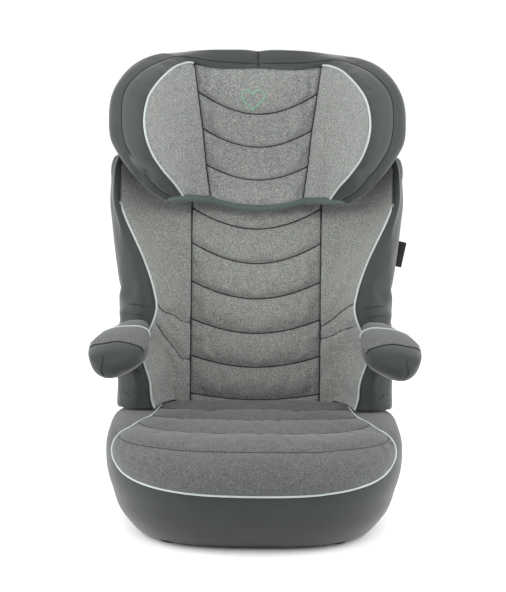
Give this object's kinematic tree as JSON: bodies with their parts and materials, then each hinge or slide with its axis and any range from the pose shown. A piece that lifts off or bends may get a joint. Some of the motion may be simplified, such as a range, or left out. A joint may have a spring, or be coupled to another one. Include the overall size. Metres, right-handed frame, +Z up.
{
  "type": "high-back booster seat",
  "caption": "High-back booster seat with a padded base, a reclining winged backrest with armrests and a sliding winged headrest.",
  "frame": {"origin": "on the ground under the middle of the whole seat", "axes": "+Z up, +X to the right when looking at the seat's front, +Y towards the back"},
  "size_m": [0.4832, 0.4555, 0.6769],
  "materials": {
    "shell_plastic": "fine moulded grain",
    "black_plastic": "satin",
    "guide_plastic": "smooth",
    "zinc_steel": "zinc plated",
    "foot_rubber": "matt",
    "foam": "open-cell foam",
    "melange_fabric": "grey melange weave, quilted",
    "dark_fabric": "dark grey fine knit",
    "label_fabric": "woven tape"
  },
  "bodies": {
    "base": {"base_shell": "shell_plastic", "hinge_bracket": "shell_plastic", "base_feet": "foot_rubber", "hinge_rod": "zinc_steel", "hinge_rod_caps": "black_plastic", "seat_foam": "foam", "seat_cover": "melange_fabric", "base_skirt": "dark_fabric"},
    "backrest": {"backrest_shell": "shell_plastic", "slide_rail_left": "black_plastic", "slide_rail_right": "black_plastic", "rail_screws": "zinc_steel", "backrest_foam": "foam", "backrest_cover": "melange_fabric", "wing_pad_left": "melange_fabric", "wing_pad_right": "melange_fabric", "side_cover_left": "dark_fabric", "side_cover_right": "dark_fabric", "armrest_core_left": "black_plastic", "armrest_core_right": "black_plastic", "armrest_pad_left": "dark_fabric", "armrest_pad_right": "dark_fabric", "side_label": "label_fabric"},
    "headrest": {"headrest_shell": "shell_plastic", "headrest_stem": "black_plastic", "stem_screws": "zinc_steel", "head_foam": "foam", "head_cover": "melange_fabric", "head_wing_pad_left": "melange_fabric", "head_wing_pad_right": "melange_fabric", "head_side_cover_left": "dark_fabric", "head_side_cover_right": "dark_fabric", "head_top_cover": "dark_fabric", "headrest_rear_cover": "shell_plastic", "belt_guide_left": "guide_plastic", "belt_guide_right": "guide_plastic", "guide_screws": "zinc_steel", "latch_housing": "black_plastic", "latch_springs": "zinc_steel"},
    "release_handle": {"release_handle": "black_plastic", "pull_strap": "dark_fabric", "latch_cam": "black_plastic"},
    "latch_bolt_left": {"latch_bolt_left": "zinc_steel"},
    "latch_bolt_right": {"latch_bolt_right": "zinc_steel"}
  },
  "joints": [
    {"name": "backrest_recline", "type": "hinge", "parent": "base", "child": "backrest", "pos_m": [0, 0.13, 0.07], "axis": [-1, 0, 0], "range_deg": [0, 14]},
    {"name": "headrest_height", "type": "slide", "parent": "backrest", "child": "headrest", "axis": [0, 0.1736, 0.9848], "range_m": [0, 0.15]},
    {"name": "release_handle_pull", "type": "slide", "parent": "headrest", "child": "release_handle", "axis": [0, 0.1736, 0.9848], "range_m": [0, 0.009], "stiffness_N_per_m": 600, "springref_m": -0.005},
    {"name": "latch_bolt_left_slide", "type": "slide", "parent": "headrest", "child": "latch_bolt_left", "axis": [1, 0, 0], "range_m": [0, 0.009]},
    {"name": "latch_bolt_right_slide", "type": "slide", "parent": "headrest", "child": "latch_bolt_right", "axis": [-1, 0, 0], "range_m": [0, 0.009]}
  ],
  "couplings": [
    {"joint": "latch_bolt_left_slide", "follows": "release_handle_pull", "ratio": 1},
    {"joint": "latch_bolt_right_slide", "follows": "release_handle_pull", "ratio": 1}
  ]
}
